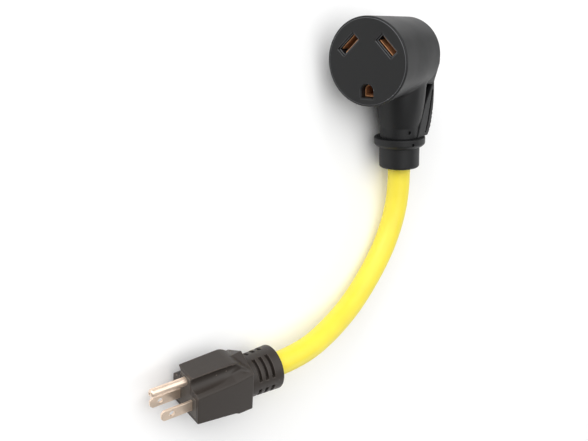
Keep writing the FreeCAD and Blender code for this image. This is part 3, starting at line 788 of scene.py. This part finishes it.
def ground_pin(x, y, z):
    """A pin folded from sheet: a seam along it and a small hole in its rounded tip."""
    radius = np.hypot(x, z - PIN_Z)
    pin = both(radius - PIN_RADIUS, -PIN_LENGTH - y, PIN_TIP_ROUNDING)
    pin = both(pin, y)
    seam = both(np.abs(x) - SEAM_HALF_WIDTH, PIN_RADIUS - SEAM_DEPTH - (z - PIN_Z))
    pin = without(pin, seam + 0.0 * y, 0.15)
    pin = without(pin, both(radius - TIP_HOLE_RADIUS, y + 1.0), 0.2)
    root = rod_y(x, y, z, PIN_ROOT_RADIUS, -0.5, PRONG_ROOT, 0.0, PIN_Z)
    return either(either(pin, root), barrel(x, y, z, *PRONG_BARREL, 0.0, PIN_Z), 0.2)


# -------------------------------------------------------------------- the pieces

# The room that each shape is looked for in: its low and its high corner
HEAD_BOX = ((-27.0, -1.0, -52.0), (27.0, 60.0, 27.0))
COLLAR_BOX = ((-17.0, 25.0, -71.0), (17.0, 59.0, -49.5))
HANDLE_BOX = ((-20.5, 40.0, -51.5), (20.5, 69.5, 3.0))
FACE_BOX = ((-26.0, -1.0, -26.0), (26.0, 9.0, 26.0))
PLUG_BOX = ((-14.5, -1.0, -13.5), (14.5, 36.0, 20.0))
BRIDGE_BOX = ((-11.5, -1.0, -7.0), (11.5, 10.0, 16.5))
TAIL_BOX = ((-14.0, 34.0, -14.0), (14.0, 57.5, 14.0))


def contact_box(x, z, reach):
    return (x - reach, 2.0, z - reach), (x + reach, 29.5, z + reach)


def prong_box(x, z, half_x, half_z, reach):
    return (x - half_x, -reach, z - half_z), (x + half_x, 16.8, z + half_z)


# Each row of parts: name, shape, box, mesh step in millimetres, material slot, CAD node

def make_head():
    parts = (
        ("head_shell", head_shell, HEAD_BOX, 0.4, "head_pvc", "head_overmould"),
        ("collar_and_sleeve", collar_and_sleeve, COLLAR_BOX, 0.25, "head_pvc", "collar_sleeve"),
        ("handle_shell", pull_handle, HANDLE_BOX, 0.25, "head_pvc", "pull_handle"),
        ("socket_face", socket_face, FACE_BOX, 0.2, "insert_nylon", "socket_insert"),
        ("neutral_leaves", blade_contact(-1), contact_box(-SLOT_X, SLOT_Z, 5.8), 0.15,
         "contact_bronze", "neutral_socket_contact"),
        ("hot_leaves", blade_contact(1), contact_box(SLOT_X, SLOT_Z, 5.8), 0.15,
         "contact_bronze", "hot_socket_contact"),
        ("ground_leaves", ground_contact, contact_box(0.0, GROUND_Z, 4.2), 0.15,
         "contact_bronze", "ground_socket_contact"),
    )
    for name, field, (low, high), step, slot, node in parts:
        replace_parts(skin(name, field, low, high, step, HEAD, slot), node)


def make_plug():
    parts = (
        ("plug_shell", plug_shell, PLUG_BOX, 0.3, "plug_pvc", "plug_body"),
        ("plug_face", plug_face, BRIDGE_BOX, 0.2, "bridge_nylon", "plug_bridge"),
        ("plug_tail", plug_tail, TAIL_BOX, 0.25, "plug_pvc", "plug_strain_relief"),
        ("neutral_prong", flat_blade(-1), prong_box(-BLADE_X, 0.0, 2.6, 3.6, 18.8), 0.15,
         "prong_plated", "neutral_blade"),
        ("hot_prong", flat_blade(1), prong_box(BLADE_X, 0.0, 2.6, 3.6, 18.8), 0.15,
         "prong_plated", "hot_blade"),
        ("ground_prong", ground_pin, prong_box(0.0, PIN_Z, 2.8, 2.8, 22.0), 0.12,
         "prong_plated", "ground_pin"),
    )
    pieces = []
    for name, field, (low, high), step, slot, node in parts:
        piece = skin(name, field, low, high, step, PLUG, slot)
        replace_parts(piece, node)
        pieces.append(piece)
    return pieces


# ------------------------------------------------------------------------- cord

CORD_EXIT = at(HEAD, 0, NECK_Y, SLEEVE_END)
CORD_ROUTE = (
    CORD_EXIT,
    at(HEAD, 0, NECK_Y, SLEEVE_END - 15.0),
    (0.1025, 0.0307, -0.0271),
    (0.123, 0.0175, -0.0286),
    (0.1445, -0.009, -0.0272),
    (0.1548, -0.037, -0.0212),
    at(PLUG, 0, RELIEF_END + 19.5, 0),
    at(PLUG, 0, RELIEF_END, 0),
)


def make_cord():
    curve = bpy.data.curves.new("power_cord", "CURVE")
    curve.dimensions = "3D"
    curve.bevel_depth = CORD_RADIUS * MM
    curve.bevel_resolution = 12
    curve.resolution_u = 24
    curve.use_fill_caps = True
    spline = curve.splines.new("NURBS")
    spline.points.add(len(CORD_ROUTE) - 1)
    for point, place in zip(spline.points, CORD_ROUTE):
        point.co = (*place, 1.0)
    spline.order_u = 3
    spline.use_endpoint_u = True
    curve.materials.append(MATERIALS["cord_jacket"])
    cord = bpy.data.objects.new("power_cord", curve)
    bpy.context.scene.collection.objects.link(cord)
    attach(cord, "root")
    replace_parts(cord, "cord")
    return cord


def finish_nodes():
    """The inner pieces keep their CAD shape and take the finish of their slot."""
    slots = {row["node"]: row["material_slot"] for row in frame["record"]["subparts"]}
    for name, node in frame["nodes"].items():
        node.data.materials.clear()
        node.data.materials.append(MATERIALS[slots[name]])


# --------------------------------------------------------------- floor and light

FLOOR_Z = -0.0366
FLOOR_HALF = 3.0


def make_floor():
    nodes = Nodes("pale_floor", (0.95, 0.95, 0.95), 0.8)
    nodes.vary_colour(nodes.noise(6.0, 2.0), (0.945, 0.945, 0.945), (0.955, 0.955, 0.955))
    corners = [(-FLOOR_HALF, -FLOOR_HALF), (FLOOR_HALF, -FLOOR_HALF),
               (FLOOR_HALF, FLOOR_HALF), (-FLOOR_HALF, FLOOR_HALF)]
    mesh = bpy.data.meshes.new("floor")
    mesh.from_pydata([(x, y, FLOOR_Z) for x, y in corners], [], [(0, 1, 2, 3)])
    mesh.materials.append(nodes.material)
    floor = bpy.data.objects.new("floor", mesh)
    bpy.context.scene.collection.objects.link(floor)


def add_softbox(name, place, target, size, power):
    data = bpy.data.lights.new(name, "AREA")
    data.shape = "RECTANGLE"
    data.size, data.size_y = size
    data.energy = power
    light = bpy.data.objects.new(name, data)
    light.location = place
    light.rotation_mode = "QUATERNION"
    light.rotation_quaternion = (Vector(target) - Vector(place)).to_track_quat("-Z", "Y")
    bpy.context.scene.collection.objects.link(light)


def make_lights():
    add_softbox("overhead", (-0.3, -0.15, 1.1), (0.08, -0.03, 0.0), (1.8, 1.8), 17.5)
    add_softbox("back", (0.25, 1.2, 0.5), (0.05, 0.0, 0.0), (0.9, 0.5), 2.3)
    add_softbox("side", (1.0, 0.7, 0.3), (0.05, 0.0, 0.0), (0.7, 0.4), 2.4)
    add_softbox("fill", (-0.9, -0.8, 0.45), (0.08, -0.06, 0.0), (0.9, 0.7), 8.0)
    world = bpy.data.worlds.new("studio")
    world.use_nodes = True
    world.node_tree.nodes["Background"].inputs["Color"].default_value = (1, 1, 1, 1)
    world.node_tree.nodes["Background"].inputs["Strength"].default_value = 0.28
    bpy.context.scene.world = world
    bpy.context.scene.view_settings.view_transform = "Standard"


make_camera()
MATERIALS.update(make_materials())
finish_nodes()
cord = make_cord()
make_head()
plug_pieces = make_plug()
make_floor()
make_lights()
